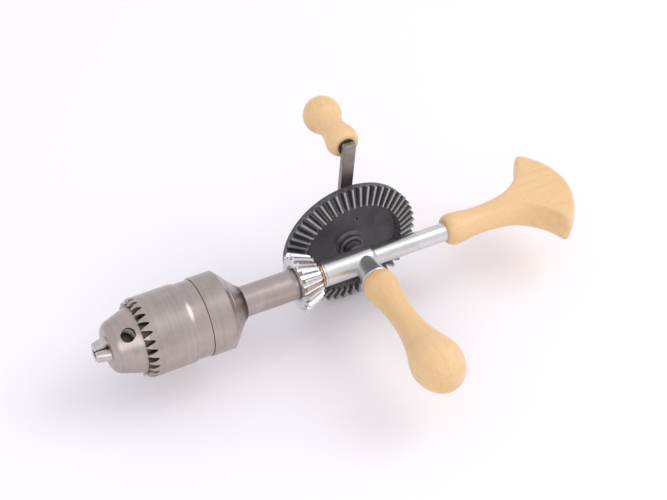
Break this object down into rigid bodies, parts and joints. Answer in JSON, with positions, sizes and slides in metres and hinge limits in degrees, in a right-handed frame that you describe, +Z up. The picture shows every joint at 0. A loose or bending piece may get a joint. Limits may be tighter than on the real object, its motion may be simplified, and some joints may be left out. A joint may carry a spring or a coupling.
{
  "type": "hand drill",
  "caption": "Hand-cranked drill with bevel gear drive, keyed three-jaw chuck, turned wooden side handle, crank knob and half-moon breast pad.",
  "frame": {"origin": "on the spindle axis in the plane of the chuck's front face, inside the grip of the closed jaws", "axes": "+X along the spindle towards the bit, +Y along the side handle, away from the crank, +Z up with the crank arm upright at rest"},
  "size_m": [0.3711, 0.2218, 0.1415],
  "materials": {
    "bright_steel": "bright drawn steel",
    "chuck_steel": "satin steel with a warm grey cast",
    "jaw_steel": "ground hardened steel",
    "pinion_nickel": "bright nickel plate",
    "gear_iron": "blackened cast iron, teeth worn lighter on top",
    "boss_iron": "satin grey iron",
    "arm_steel": "dark flat bar with fine scratches",
    "dark_steel": "oil-blackened screws",
    "bronze": "plain bearing bronze",
    "handle_wood": "pale beech, satin varnish"
  },
  "bodies": {
    "frame": {"frame_bar": "bright_steel", "spindle_bush": "bronze", "retaining_screw": "dark_steel", "thrust_race_frame": "bright_steel", "gear_axle": "boss_iron", "axle_washer": "bright_steel", "axle_screw": "dark_steel", "crank_boss": "boss_iron", "side_ferrule": "boss_iron", "side_stud": "dark_steel", "side_handle": "handle_wood", "breast_handle": "handle_wood", "breast_nut": "dark_steel", "breast_plug": "handle_wood"},
    "crank": {"drive_gear": "gear_iron", "crank_arm": "arm_steel", "crank_screws": "dark_steel", "knob_screw": "dark_steel", "knob_washer": "bright_steel"},
    "knob": {"crank_knob": "handle_wood"},
    "spindle": {"spindle": "chuck_steel", "pinion": "pinion_nickel", "pinion_pin": "dark_steel", "thrust_race_pinion": "bright_steel", "chuck_body": "chuck_steel"},
    "thrust_bearing": {"thrust_balls": "bright_steel", "ball_cage": "bronze"},
    "sleeve": {"chuck_sleeve": "chuck_steel", "split_nut": "dark_steel"},
    "first_jaw": {"jaw_1": "jaw_steel"},
    "second_jaw": {"jaw_2": "jaw_steel"},
    "third_jaw": {"jaw_3": "jaw_steel"}
  },
  "joints": [
    {"name": "crank_turn", "type": "hinge", "parent": "frame", "child": "crank", "pos_m": [-0.1945, 0, 0], "axis": [0, 1, 0], "continuous": true},
    {"name": "knob_spin", "type": "hinge", "parent": "crank", "child": "knob", "pos_m": [-0.20046, -0.06, 0.07577], "axis": [0, 1, 0], "continuous": true},
    {"name": "spindle_spin", "type": "hinge", "parent": "frame", "child": "spindle", "pos_m": [-0.1945, 0, 0], "axis": [1, 0, 0], "continuous": true},
    {"name": "ball_spin", "type": "hinge", "parent": "frame", "child": "thrust_bearing", "pos_m": [-0.1945, 0, 0], "axis": [1, 0, 0], "continuous": true},
    {"name": "sleeve_turn", "type": "hinge", "parent": "spindle", "child": "sleeve", "pos_m": [-0.1945, 0, 0], "axis": [1, 0, 0], "range_deg": [0, 2880]},
    {"name": "jaw_1_slide", "type": "slide", "parent": "spindle", "child": "first_jaw", "axis": [-0.9659, -0.1294, -0.2241], "range_m": [0, 0.02]},
    {"name": "jaw_2_slide", "type": "slide", "parent": "spindle", "child": "second_jaw", "axis": [-0.9659, 0.2588, 0], "range_m": [0, 0.02]},
    {"name": "jaw_3_slide", "type": "slide", "parent": "spindle", "child": "third_jaw", "axis": [-0.9659, -0.1294, 0.2241], "range_m": [0, 0.02]}
  ],
  "couplings": [
    {"joint": "spindle_spin", "follows": "crank_turn", "ratio": 2.55},
    {"joint": "ball_spin", "follows": "crank_turn", "ratio": 1.275},
    {"joint": "jaw_1_slide", "follows": "sleeve_turn", "m_per_rad": 0.00039789},
    {"joint": "jaw_2_slide", "follows": "sleeve_turn", "m_per_rad": 0.00039789},
    {"joint": "jaw_3_slide", "follows": "sleeve_turn", "m_per_rad": 0.00039789}
  ]
}
